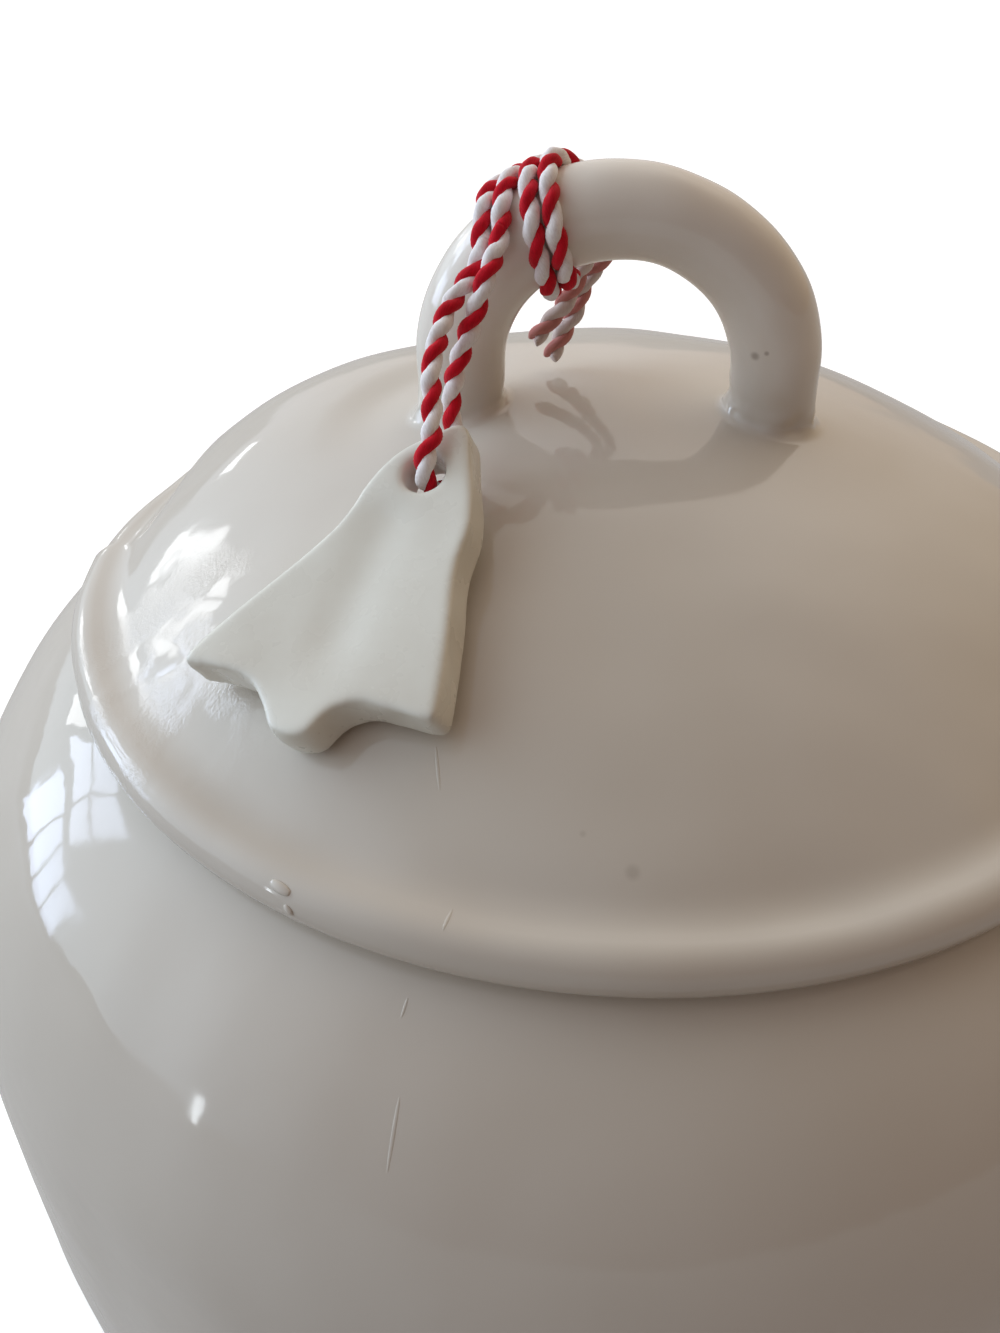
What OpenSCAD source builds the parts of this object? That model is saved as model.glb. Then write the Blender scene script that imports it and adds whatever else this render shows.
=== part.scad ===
// Cookie jar with a lift-off lid and a tree-shaped tag on twine
// A round-bellied glazed jar, a domed lid with an arched handle, and a small clay tag tied to the handle.
// The origin is the centre of the foot, on the surface that the jar stands on. +Z is up, and the handle's
// arch lies in the XZ plane. The tag lies on the lid's front left, towards -X and -Y.
// Lengths are in millimetres and angles in degrees.

/* [Jar body] */
// Height from the foot up to the rim that carries the lid
jar_height = 176; // [160:1:200]
// Largest radius of the body
belly_radius = 107; // [98:0.5:120]
// Depth of the widest place below the rim
belly_depth = 47; // [40:1:56]
// Radius of the mouth
mouth_radius = 70; // [62:0.5:74]
// Outer radius of the flat rim round the mouth
rim_radius = 79; // [77:0.5:84]
// Thickness of the body's wall
jar_wall = 6; // [4:0.5:8]
// Depth of the thick lip round the mouth
lip_depth = 8; // [6:0.5:12]
// Thickness of the floor
floor_thickness = 7; // [5:0.5:10]
// Radius of the foot
foot_radius = 76; // [66:0.5:84]
// Height of the upright foot
foot_height = 5; // [3:0.5:8]
// Width of the ring that the jar stands on
foot_ring_width = 9; // [6:0.5:14]
// Depth of the hollow inside that ring
foot_hollow = 3.5; // [2:0.5:5]

/* [Jar curves] */
// Reach of the curve that leaves the foot, outwards
hip_reach = 22; // [15:1:28]
// Rise of the curve that leaves the foot
hip_rise = 11; // [6:1:18]
// Straightness of the side below the widest place
side_length = 54; // [40:1:64]
// Straightness of the side above the widest place
shoulder_length = 19; // [14:1:26]
// Straightness of the shoulder beside the rim
shoulder_top_length = 19; // [14:1:24]
// Slope of the shoulder where it meets the rim
shoulder_slope = 28; // [18:1:36]
// Width of the bevel beside the rim
rim_bevel_width = 1; // [0.4:0.1:2]
// Depth of the bevel beside the rim
rim_bevel_depth = 0.6; // [0.2:0.1:1.2]

/* [Lid] */
// Outer radius of the lid
lid_radius = 83; // [80:0.5:90]
// Thickness of the round-edged brim
brim_thickness = 7.4; // [6:0.2:9]
// Radius of the hollow between the brim and the dome
cove_radius = 8; // [6:0.5:10]
// Height of the dome above the rim
dome_rise = 36.5; // [32:0.5:44]
// Thickness of the dome's wall
lid_wall = 6; // [4:0.5:8]
// Depth of the ring that keeps the lid in the mouth
locating_depth = 10; // [6:0.5:14]
// Thickness of that ring
locating_wall = 5; // [4:0.5:7]
// Gap between that ring and the mouth, all round
locating_clearance = 1.5; // [0.8:0.1:3]

/* [Handle] */
// Thickness of the handle's round rod
rod_diameter = 12.7; // [10:0.1:14]
// Distance between the middles of the handle's two legs
handle_span = 44.8; // [42:0.2:54]
// Distance of the handle's middle from the lid's middle, to the right
handle_shift = -1.6; // [-3:0.2:3]
// Height of the handle's top above the dome
handle_rise = 33.6; // [31:0.2:40]
// Radius of the fillet round each foot
handle_fillet = 3.5; // [2:0.5:4.5]

/* [Tag] */
// Thickness of the tag
tag_thickness = 6; // [5:0.5:7]
// Diameter of the hole for the twine
tag_hole_diameter = 5.8; // [5.2:0.1:6.2]
// Slope of the tag where it lies on the dome
tag_tilt = 31; // [28:0.5:34]
// Direction from the lid's middle to the tag
tag_direction = -124.5; // [-140:0.5:-110]
// Lean of the tag to one side
tag_lean = -8; // [-15:1:5]
// Gap between the tag and the dome
tag_gap = 0.4; // [0.3:0.1:1]

/* [Twine] */
// Thickness of the twine
twine_diameter = 2.4; // [2:0.1:2.8]
// Gap between the twine and what it goes round
twine_clearance = 0.25; // [0.2:0.05:0.5]
// Gap between neighbouring strands of the hitch
strand_gap = 0.48; // [0.42:0.02:0.8]
// Place of the hitch along the arch, from the right leg
hitch_angle = 123; // [100:1:135]

/* [Hidden] */
$fn = 96;
curve_steps = 20;
tag_steps = 4;
route_steps = 2;
bend_step = 22.5;
overlap = 1;
glaze_colour = [0.88, 0.86, 0.81];
tag_colour = [0.9, 0.9, 0.86];
twine_colour = [0.78, 0.22, 0.25];

// Levels of the jar
belly_z = jar_height - belly_depth;
floor_top = foot_hollow + floor_thickness;
lip_bottom = jar_height - lip_depth;
lip_edge = [rim_radius + rim_bevel_width, jar_height - rim_bevel_depth];

// The lid's dome runs into the brim through the cove
cove_centre = [lid_radius - brim_thickness / 2, brim_thickness + cove_radius];
cove_drop = cove_centre[1] - dome_rise;
dome_radius = (pow(cove_centre[0], 2) + pow(cove_drop, 2) - pow(cove_radius, 2))
              / (2 * (cove_radius - cove_drop));
dome_centre_z = dome_rise - dome_radius;
dome_edge_angle = atan2(cove_centre[1] - dome_centre_z, cove_centre[0]);
dome_centre = [0, 0, jar_height + dome_centre_z];
locating_radius = mouth_radius - locating_clearance;
lid_inside_radius = locating_radius - locating_wall;

// The handle stands on the dome
rod_radius = rod_diameter / 2;
arch_radius = handle_span / 2;
arch_z = jar_height + dome_rise + handle_rise - rod_radius - arch_radius;
function leg_x(side) = handle_shift + side * arch_radius;
function leg_slope(side) = asin(leg_x(side) / dome_radius);
function leg_foot_z(side) = jar_height + dome_centre_z + dome_radius * cos(leg_slope(side));
foot_bottom_drop = 4;

// The tag's outline, seen from its front, with y up the tag and the dome touching nearest to the origin
tag_outline_points = [
    [1.6, 35.4], [5.4, 29.6], [9.4, 22.4], [10.8, 15.6], [14.4, 7.2], [17.1, -0.4], [17.6, -3.8],
    [13, -4.4], [8, -4.9], [4.8, -7.2], [3, -11], [-1.6, -11.8], [-5.2, -8.8], [-9, -6.6], [-15, -6.8],
    [-19, -7], [-17.8, -2.6], [-14, 5.4], [-10.4, 12.8], [-8.4, 18], [-7.6, 24], [-5.8, 29], [-2.2, 33]
];
tag_hole = [-0.5, 27.3];
tag_normal = [sin(tag_tilt) * cos(tag_direction), sin(tag_tilt) * sin(tag_direction), cos(tag_tilt)];
slope_across = [-sin(tag_direction), cos(tag_direction), 0];
slope_up = [-cos(tag_tilt) * cos(tag_direction), -cos(tag_tilt) * sin(tag_direction), sin(tag_tilt)];
tag_across = slope_across * cos(tag_lean) - slope_up * sin(tag_lean);
tag_up = slope_up * cos(tag_lean) + slope_across * sin(tag_lean);

// The hitch: two strands side by side, over the rod, under it and over it again
twine_radius = twine_diameter / 2;
hitch_radius = rod_radius + twine_radius + twine_clearance;
strand_pitch = twine_diameter + strand_gap;
hitch_lead = 1.7 * strand_pitch;
hitch_start = 52;
hitch_end = 520;
hitch_middle = 2.2;
hitch_step = 13;
veer_from = 165;
veer = 2.6;
veer_spread = 0.12;
drift_from = 420;
drift = 0.9;
lean_at = 270;
lean_reach = 160;
lean = 3.4;
hitch_sides = 6;
cord_sides = 8;

// The loop from the hitch through the tag's hole and back, and the two tails, as chosen points
end_gap = 0.3;
loop_clearance = 0.3;
loop_front_route = [[-22, -10.5, 233], [-24, -14, 230.5], [-25, -17.5, 228], [-25.5, -21, 225],
                    [-25, -24.5, 221.5]];
loop_back_route = [[-22, -20.5, 212], [-23, -17.5, 214.5], [-23.5, -16, 219], [-22.5, -15, 224],
                   [-20.5, -13.5, 230], [-19, -11.5, 235]];
tail_left_route = [[-5.5, 10, 234.5], [-6, 10, 231], [-7.5, 9.5, 227.5], [-8.5, 9, 224.5], [-10, 8.5, 222],
                   [-12, 8, 219.5], [-14, 7.5, 217]];
tail_right_route = [[-2.5, 10, 235], [-3, 11.5, 231.5], [-5, 12, 227.5], [-7, 12, 224], [-8, 11.5, 220.5],
                    [-9.5, 11, 217.5], [-11.5, 9.5, 213.5]];

// Curve helpers
function unit(v) = v / norm(v);
function arc(centre, radius, from, to, steps = curve_steps) =
    [for (i = [0 : steps]) let (a = from + (to - from) * i / steps) centre + radius * [cos(a), sin(a)]];
function bezier(p, t) =
    pow(1 - t, 3) * p[0] + 3 * pow(1 - t, 2) * t * p[1] + 3 * (1 - t) * t * t * p[2] + pow(t, 3) * p[3];
function bezier_heading(p, t) =
    unit(pow(1 - t, 2) * (p[1] - p[0]) + 2 * (1 - t) * t * (p[2] - p[1]) + t * t * (p[3] - p[2]));
function bezier_points(p, inset = 0) =
    [for (i = [0 : curve_steps]) let (t = i / curve_steps, h = bezier_heading(p, t))
        bezier(p, t) - inset * [h[1], -h[0]]];
function spline(a, b, c, d, t) =
    0.5 * (2 * b + (c - a) * t + (2 * a - 5 * b + 4 * c - d) * t * t + (3 * b - a - 3 * c + d) * t * t * t);
function closed_spline(p, steps) = let (n = len(p))
    [for (i = [0 : n - 1], j = [0 : steps - 1])
        spline(p[(i + n - 1) % n], p[i], p[(i + 1) % n], p[(i + 2) % n], j / steps)];
function open_spline(p, steps) = let (n = len(p))
    [for (i = [0 : n - 2], j = [0 : i == n - 2 ? steps : steps - 1])
        spline(p[max(i - 1, 0)], p[i], p[i + 1], p[min(i + 2, n - 1)], j / steps)];

// Tube helpers: the first side points the way of the hint, which lies along no path
tube_side_hint = [0.3, 0.5, 0.8];
function heading(path, i) = unit(path[min(i + 1, len(path) - 1)] - path[max(i - 1, 0)]);
function square_to(v, axis) = unit(v - (v * axis) * axis);
function tube_sides(path) =
    [for (i = 0, side = square_to(tube_side_hint, heading(path, 0));
          i < len(path);
          i = i + 1, side = i < len(path) ? square_to(side, heading(path, i)) : side) side];
function tube_rings(path, radius, sides) = let (across = tube_sides(path))
    [for (i = [0 : len(path) - 1]) let (other = cross(heading(path, i), across[i]))
        for (j = [0 : sides - 1]) let (a = 360 * j / sides)
            path[i] + radius * (cos(a) * across[i] + sin(a) * other)];
function tube_faces(rings, sides) = concat(
    [for (j = [1 : sides - 2]) [0, j, j + 1]],
    [for (i = [0 : rings - 2], j = [0 : sides - 1], half = [0, 1])
        let (a = i * sides + j, b = i * sides + (j + 1) % sides)
            half == 0 ? [a, a + sides, b] : [b, a + sides, b + sides]],
    [for (j = [1 : sides - 2]) let (last = (rings - 1) * sides) [last, last + j + 1, last + j]]);

// Places on the tag, with x across it, y up it and z out from its back face
function on_tag(x, y, z) =
    dome_centre + (dome_radius + tag_gap + z) * tag_normal + x * tag_across + y * tag_up;

// The hitch's centreline: turn 0 is in front of the rod, 90 outside the arch and 180 behind it
function veer_share(turn) = max(0, (veer_from - turn) / (veer_from - hitch_start));
function drift_share(turn) = max(0, (turn - drift_from) / (hitch_end - drift_from));
function lean_share(turn) = max(0, 1 - pow((turn - lean_at) / lean_reach, 2));
function along_rod(turn, strand) =
    hitch_lead * turn / 360 + strand * strand_pitch * (1 + veer_spread * pow(veer_share(turn), 2))
    - veer * pow(veer_share(turn), 2) + drift * pow(drift_share(turn), 2) - lean * pow(lean_share(turn), 2);
function hitch_point(turn, strand) =
    let (reach = arch_radius + hitch_radius * sin(turn))
    let (a = hitch_angle + (hitch_middle - along_rod(turn, strand)) / reach * 180 / PI)
        [handle_shift + reach * cos(a), -hitch_radius * cos(turn), arch_z + reach * sin(a)];
function hitch_exit(strand) = unit(hitch_point(hitch_start, strand) - hitch_point(hitch_start + 1, strand));
function hitch_tail(strand) = unit(hitch_point(hitch_end, strand) - hitch_point(hitch_end - 1, strand));
function hitch_exit_end(strand) = hitch_point(hitch_start, strand) + twine_diameter * hitch_exit(strand);
function hitch_tail_end(strand) = hitch_point(hitch_end, strand) + twine_diameter * hitch_tail(strand);
function hitch_path(strand) = concat(
    [hitch_exit_end(strand)],
    [for (turn = [hitch_start : hitch_step : hitch_end]) hitch_point(turn, strand)],
    [hitch_tail_end(strand)]);

// The loop bends round the tag's head, inside the hole
hole_radius = tag_hole_diameter / 2;
bend_radius = tag_thickness / 2 + twine_radius + loop_clearance;
bend_room = bend_radius - twine_radius - loop_clearance / 2;
bend_y = tag_hole[1] + hole_radius + sqrt(pow(bend_room, 2) - pow(tag_thickness / 2, 2));
bend_points = [for (a = [90 : bend_step : 270])
    on_tag(tag_hole[0], bend_y + bend_radius * cos(a), tag_thickness / 2 + bend_radius * sin(a))];
function loop_start(strand, run) = hitch_exit_end(strand) + (end_gap + run) * hitch_exit(strand);
function tail_start(strand, run) = hitch_tail_end(strand) + (end_gap + run) * hitch_tail(strand);
loop_path = open_spline(concat(
    [loop_start(0, 0), loop_start(0, twine_diameter)], loop_front_route, bend_points, loop_back_route,
    [loop_start(1, twine_diameter), loop_start(1, 0)]), route_steps);
function tail_path(strand, route) = open_spline(concat(
    [tail_start(strand, 0), tail_start(strand, twine_diameter)], route), route_steps);

// Least gap between the strands of the hitch, and from each to its own other turns
function gap_between(p, q) = min([for (a = p, b = q) norm(a - b)]) - twine_diameter;
function gap_to_itself(p) = let (far = 180 / hitch_step)
    min([for (i = [0 : len(p) - 1], j = [0 : len(p) - 1]) if (j - i >= far) norm(p[i] - p[j])])
    - twine_diameter;
echo(hitch_left_gap_to_itself = gap_to_itself(hitch_path(0)));
echo(hitch_right_gap_to_itself = gap_to_itself(hitch_path(1)));
echo(hitch_gap_between_strands = gap_between(hitch_path(0), hitch_path(1)));

// Where the loop swings at the hitch, just outside its two strands, and where the tag turns on the loop
swing_heading = unit(hitch_exit(0) + hitch_exit(1));
swing_middle = (loop_start(0, -end_gap / 2) + loop_start(1, -end_gap / 2)) / 2;
rod_middle = arch_radius * [cos(hitch_angle), 0, sin(hitch_angle)] + [handle_shift, 0, arch_z];
swing_outwards = square_to(swing_middle - rod_middle, swing_heading);
swing_axis = cross(swing_heading, swing_outwards);
swing_place = swing_middle + (twine_radius + loop_clearance) * swing_outwards;
echo(swing_place = swing_place, swing_axis = swing_axis);
echo(tag_turn_place = on_tag(tag_hole[0], tag_hole[1], tag_thickness / 2), tag_turn_axis = tag_normal);

jar_side = [[foot_radius, foot_height], [foot_radius + hip_reach, foot_height + hip_rise],
            [belly_radius, belly_z - side_length], [belly_radius, belly_z]];
jar_shoulder = [[belly_radius, belly_z], [belly_radius, belly_z + shoulder_length],
                lip_edge + shoulder_top_length * [cos(shoulder_slope), -sin(shoulder_slope)], lip_edge];

module jar_section() {
    difference() {
        polygon(concat([[0, 0], [foot_radius, 0]], bezier_points(jar_side), bezier_points(jar_shoulder),
                       [[rim_radius, jar_height], [0, jar_height]]));
        intersection() {
            polygon(concat([[0, 0]], bezier_points(jar_side, jar_wall),
                           bezier_points(jar_shoulder, jar_wall), [[0, jar_height]]));
            translate([0, floor_top]) square([belly_radius, lip_bottom - floor_top]);
        }
        translate([0, lip_bottom - overlap]) square([mouth_radius, lip_depth + 2 * overlap]);
        translate([0, -overlap]) square([foot_radius - foot_ring_width, foot_hollow + overlap]);
    }
}

module jar_body() {
    color(glaze_colour) rotate_extrude() jar_section();
}

// The lid's outer edge, from the top of the dome to the underside of the brim
function lid_edge() = concat(
    arc([0, dome_centre_z], dome_radius, 90, dome_edge_angle),
    arc(cove_centre, cove_radius, 180 + dome_edge_angle, 270),
    arc([cove_centre[0], brim_thickness / 2], brim_thickness / 2, 90, -90));

module lid_section() {
    inside = dome_radius - lid_wall;
    polygon(concat(lid_edge(), [[lid_inside_radius, 0]],
                   arc([0, dome_centre_z], inside, acos(lid_inside_radius / inside), 90)));
}

module lid() {
    color(glaze_colour) translate([0, 0, jar_height]) rotate_extrude() lid_section();
}

// The ring under the lid is fired with it, and meets the lid's flat underside
module lid_ring() {
    color(glaze_colour) translate([0, 0, jar_height - locating_depth]) rotate_extrude()
        translate([lid_inside_radius, 0]) square([locating_wall, locating_depth]);
}

module handle_foot(slope) {
    inset = handle_fillet * sin(abs(slope));
    polygon(concat([[0, -foot_bottom_drop], [rod_radius + handle_fillet, -foot_bottom_drop]],
                   arc([rod_radius - inset + handle_fillet, handle_fillet], handle_fillet, 270, 180),
                   [[0, handle_fillet]]));
}

module lid_handle() {
    color(glaze_colour) difference() {
        union() {
            translate([handle_shift, 0, arch_z]) rotate([90, 0, 0])
                rotate_extrude(angle = 180) translate([arch_radius, 0]) circle(rod_radius);
            for (side = [-1, 1]) translate([leg_x(side), 0, leg_foot_z(side)]) {
                translate([0, 0, -foot_bottom_drop])
                    cylinder(r = rod_radius, h = arch_z - leg_foot_z(side) + foot_bottom_drop);
                rotate([0, leg_slope(side), 0]) rotate_extrude() handle_foot(leg_slope(side));
            }
        }
        translate([0, 0, jar_height]) rotate_extrude() polygon(concat(lid_edge(), [[0, 0]]));
    }
}

module tag() {
    color(tag_colour) translate(dome_centre) rotate([0, tag_tilt, tag_direction])
        rotate([0, 0, 90 - tag_lean]) translate([0, 0, dome_radius + tag_gap]) difference() {
            linear_extrude(tag_thickness) polygon(closed_spline(tag_outline_points, tag_steps));
            translate([tag_hole[0], tag_hole[1], -overlap])
                cylinder(d = tag_hole_diameter, h = tag_thickness + 2 * overlap);
        }
}

module twine(path, sides) {
    color(twine_colour)
        polyhedron(tube_rings(path, twine_radius, sides), tube_faces(len(path), sides));
}

module twine_hitch_left() twine(hitch_path(0), hitch_sides);
module twine_hitch_right() twine(hitch_path(1), hitch_sides);
module twine_loop() twine(loop_path, cord_sides);
module twine_tail_left() twine(tail_path(0, tail_left_route), cord_sides);
module twine_tail_right() twine(tail_path(1, tail_right_route), cord_sides);

jar_body();
lid();
lid_ring();
lid_handle();
tag();
twine_hitch_left();
twine_hitch_right();
twine_loop();
twine_tail_left();
twine_tail_right();
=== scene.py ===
# Cookie jar: glazed jar and lid, arched handle, clay tag and striped twine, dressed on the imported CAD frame
import math
import bmesh
import bpy
import numpy as np
from mathutils import Matrix, Vector
from mathutils.bvhtree import BVHTree


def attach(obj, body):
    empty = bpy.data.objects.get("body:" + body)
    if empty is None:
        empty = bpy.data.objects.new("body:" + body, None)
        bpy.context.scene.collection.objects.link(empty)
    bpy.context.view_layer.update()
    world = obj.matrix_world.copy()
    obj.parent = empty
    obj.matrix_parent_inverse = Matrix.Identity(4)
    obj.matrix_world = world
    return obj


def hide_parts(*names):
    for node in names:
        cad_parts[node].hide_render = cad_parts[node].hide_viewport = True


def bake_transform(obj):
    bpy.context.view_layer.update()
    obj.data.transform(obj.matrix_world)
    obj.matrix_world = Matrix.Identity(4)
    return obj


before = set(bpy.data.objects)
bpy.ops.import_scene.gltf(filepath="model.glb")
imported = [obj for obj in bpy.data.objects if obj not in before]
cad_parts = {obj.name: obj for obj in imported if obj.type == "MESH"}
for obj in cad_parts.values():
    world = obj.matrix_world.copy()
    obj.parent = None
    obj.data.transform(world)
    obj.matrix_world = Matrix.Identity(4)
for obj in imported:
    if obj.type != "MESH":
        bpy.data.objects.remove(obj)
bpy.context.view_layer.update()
MM = 0.001

# Sizes of the part, in millimetres and degrees, as in its source
JAR_HEIGHT = 176.0
BELLY_RADIUS = 107.0
BELLY_DEPTH = 47.0
MOUTH_RADIUS = 70.0
RIM_RADIUS = 79.0
JAR_WALL = 6.0
LIP_DEPTH = 8.0
FLOOR_THICKNESS = 7.0
FOOT_RADIUS = 76.0
FOOT_HEIGHT = 5.0
FOOT_RING_WIDTH = 9.0
FOOT_HOLLOW = 3.5
HIP_REACH = 22.0
HIP_RISE = 11.0
SIDE_LENGTH = 54.0
SHOULDER_LENGTH = 19.0
SHOULDER_TOP_LENGTH = 19.0
SHOULDER_SLOPE = 28.0
RIM_BEVEL_WIDTH = 1.0
RIM_BEVEL_DEPTH = 0.6
LID_RADIUS = 83.0
BRIM_THICKNESS = 7.4
COVE_RADIUS = 8.0
DOME_RISE = 36.5
LID_WALL = 6.0
LOCATING_DEPTH = 10.0
LOCATING_WALL = 5.0
LOCATING_CLEARANCE = 1.5
ROD_DIAMETER = 12.7
HANDLE_SPAN = 44.8
HANDLE_SHIFT = -1.6
HANDLE_RISE = 33.6
TAG_THICKNESS = 6.0
TAG_HOLE_DIAMETER = 5.8
TAG_TILT = 31.0
TAG_DIRECTION = -124.5
TAG_LEAN = -8.0
TAG_GAP = 0.4
TWINE_DIAMETER = 2.4
TWINE_CLEARANCE = 0.25
STRAND_GAP = 0.48
HITCH_ANGLE = 123.0
HITCH_START = 52.0
HITCH_END = 520.0
HITCH_MIDDLE = 2.2
HITCH_LEAD_STRANDS = 1.7
VEER_FROM = 165.0
VEER = 2.6
VEER_SPREAD = 0.12
DRIFT_FROM = 420.0
DRIFT = 0.9
LEAN_AT = 270.0
LEAN_REACH = 160.0
LEAN = 3.4
END_GAP = 0.3
LOOP_CLEARANCE = 0.3
BEND_STEP = 22.5

# Places that follow from the sizes
BELLY_Z = JAR_HEIGHT - BELLY_DEPTH
FLOOR_TOP = FOOT_HOLLOW + FLOOR_THICKNESS
LIP_BOTTOM = JAR_HEIGHT - LIP_DEPTH
LIP_EDGE = np.array([RIM_RADIUS + RIM_BEVEL_WIDTH, JAR_HEIGHT - RIM_BEVEL_DEPTH])
COVE_CENTRE = np.array([LID_RADIUS - BRIM_THICKNESS / 2, BRIM_THICKNESS + COVE_RADIUS])
COVE_DROP = COVE_CENTRE[1] - DOME_RISE
DOME_RADIUS = (COVE_CENTRE[0] ** 2 + COVE_DROP ** 2 - COVE_RADIUS ** 2) / (2 * (COVE_RADIUS - COVE_DROP))
DOME_CENTRE_Z = DOME_RISE - DOME_RADIUS
DOME_EDGE_ANGLE = math.degrees(math.atan2(COVE_CENTRE[1] - DOME_CENTRE_Z, COVE_CENTRE[0]))
DOME_CENTRE = np.array([0.0, 0.0, JAR_HEIGHT + DOME_CENTRE_Z])
LOCATING_RADIUS = MOUTH_RADIUS - LOCATING_CLEARANCE
LID_INSIDE_RADIUS = LOCATING_RADIUS - LOCATING_WALL
ROD_RADIUS = ROD_DIAMETER / 2
ARCH_RADIUS = HANDLE_SPAN / 2
ARCH_Z = JAR_HEIGHT + DOME_RISE + HANDLE_RISE - ROD_RADIUS - ARCH_RADIUS
ARCH_CENTRE = np.array([HANDLE_SHIFT, 0.0, ARCH_Z])
TWINE_RADIUS = TWINE_DIAMETER / 2
HITCH_RADIUS = ROD_RADIUS + TWINE_RADIUS + TWINE_CLEARANCE
STRAND_PITCH = TWINE_DIAMETER + STRAND_GAP
HITCH_LEAD = HITCH_LEAD_STRANDS * STRAND_PITCH

# The tag's outline and the twine's chosen points, as in the part's source
TAG_OUTLINE = [
    (1.6, 35.4), (5.4, 29.6), (9.4, 22.4), (10.8, 15.6), (14.4, 7.2), (17.1, -0.4), (17.6, -3.8),
    (13, -4.4), (8, -4.9), (4.8, -7.2), (3, -11), (-1.6, -11.8), (-5.2, -8.8), (-9, -6.6), (-15, -6.8),
    (-19, -7), (-17.8, -2.6), (-14, 5.4), (-10.4, 12.8), (-8.4, 18), (-7.6, 24), (-5.8, 29), (-2.2, 33),
]
TAG_HOLE = (-0.5, 27.3)
LOOP_FRONT_ROUTE = [(-22, -10.5, 233), (-24, -14, 230.5), (-25, -17.5, 228), (-25.5, -21, 225),
                    (-25, -24.5, 221.5)]
LOOP_BACK_ROUTE = [(-22, -20.5, 212), (-23, -17.5, 214.5), (-23.5, -16, 219), (-22.5, -15, 224),
                   (-20.5, -13.5, 230), (-19, -11.5, 235)]
TAIL_LEFT_ROUTE = [(-5.5, 10, 234.5), (-6, 10, 231), (-7.5, 9.5, 227.5), (-8.5, 9, 224.5), (-10, 8.5, 222),
                   (-12, 8, 219.5), (-14, 7.5, 217)]
TAIL_RIGHT_ROUTE = [(-2.5, 10, 235), (-3, 11.5, 231.5), (-5, 12, 227.5), (-7, 12, 224), (-8, 11.5, 220.5),
                    (-9.5, 11, 217.5), (-11.5, 9.5, 213.5)]

# The camera, fitted to the rim, the dome, the handle and the tag of the photograph, with turns in radians
PHOTO_WIDTH = 1000
PHOTO_HEIGHT = 1333
FOCAL_PIXELS = 1500.0
CAMERA_PLACE = np.array([-2.426, -198.638, 309.106])
CAMERA_PITCH = 0.63329
CAMERA_YAW = -0.07728
CAMERA_ROLL = -0.00994
SENSOR_WIDTH = 36.0
NEAREST_SEEN = 5.0


def linked(name, data):
    obj = bpy.data.objects.new(name, data)
    bpy.context.collection.objects.link(obj)
    return obj


def build_camera():
    forward = np.array([math.sin(CAMERA_YAW) * math.cos(CAMERA_PITCH),
                        math.cos(CAMERA_YAW) * math.cos(CAMERA_PITCH),
                        -math.sin(CAMERA_PITCH)])
    right = np.array([math.cos(CAMERA_YAW), -math.sin(CAMERA_YAW), 0.0])
    down = np.cross(forward, right)
    across = math.cos(CAMERA_ROLL) * right + math.sin(CAMERA_ROLL) * down
    below = -math.sin(CAMERA_ROLL) * right + math.cos(CAMERA_ROLL) * down
    data = bpy.data.cameras.new("camera")
    data.sensor_width = SENSOR_WIDTH
    data.lens = SENSOR_WIDTH * FOCAL_PIXELS / max(PHOTO_WIDTH, PHOTO_HEIGHT)
    data.clip_start = NEAREST_SEEN * MM
    camera = linked("camera", data)
    turn = Matrix([across, -below, -forward]).transposed()
    camera.matrix_world = Matrix.Translation(Vector(CAMERA_PLACE * MM)) @ turn.to_4x4()
    bpy.context.scene.camera = camera


# Curve helpers
CORNER_SHARE = 0.48
CORNER_STEPS = 7
WAVELENGTH_SPREAD = (0.7, 1.5)


def cos_sin(degrees):
    return math.cos(math.radians(degrees)), math.sin(math.radians(degrees))


def unit(v):
    v = np.asarray(v, dtype=float)
    return v / np.linalg.norm(v)


def unit_rows(rows):
    return rows / np.linalg.norm(rows, axis=-1, keepdims=True)


def directions(line):
    return unit_rows(np.gradient(line, axis=0))


def outward(profile):
    """Unit vectors to the right of a flat line's run, which is outwards where a profile climbs."""
    ahead = directions(profile)
    return np.stack([ahead[:, 1], -ahead[:, 0]], axis=1)


def bezier(p, t):
    p = [np.asarray(q, dtype=float) for q in p]
    return (1 - t) ** 3 * p[0] + 3 * (1 - t) ** 2 * t * p[1] + 3 * (1 - t) * t * t * p[2] + t ** 3 * p[3]


def bezier_line(p, steps, inset=0.0):
    line = np.array([bezier(p, t) for t in np.linspace(0, 1, steps)])
    return line - inset * outward(line)


def arc_line(centre, radius, start, stop, steps):
    a = np.radians(np.linspace(start, stop, steps))
    return np.asarray(centre) + radius * np.stack([np.cos(a), np.sin(a)], axis=1)


def spline_point(a, b, c, d, t):
    square = 2 * a - 5 * b + 4 * c - d
    cube = 3 * b - a - 3 * c + d
    return 0.5 * (2 * b + (c - a) * t + square * t * t + cube * t ** 3)


def closed_spline(points, steps):
    p = np.asarray(points, dtype=float)
    n = len(p)
    return np.array([spline_point(p[i - 1], p[i], p[(i + 1) % n], p[(i + 2) % n], j / steps)
                     for i in range(n) for j in range(steps)])


def open_spline(points, steps):
    p = np.asarray(points, dtype=float)
    n = len(p)
    line = [spline_point(p[max(i - 1, 0)], p[i], p[i + 1], p[min(i + 2, n - 1)], j / steps)
            for i in range(n - 1) for j in range(steps)]
    return np.array(line + [p[-1]])


def lengths_along(line):
    return np.concatenate([[0], np.cumsum(np.linalg.norm(np.diff(line, axis=0), axis=1))])


def resample(line, spacing):
    s = lengths_along(line)
    count = max(2, int(round(s[-1] / spacing)) + 1)
    at = np.linspace(0, s[-1], count)
    return np.stack([np.interp(at, s, line[:, k]) for k in range(line.shape[1])], axis=1)


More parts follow.
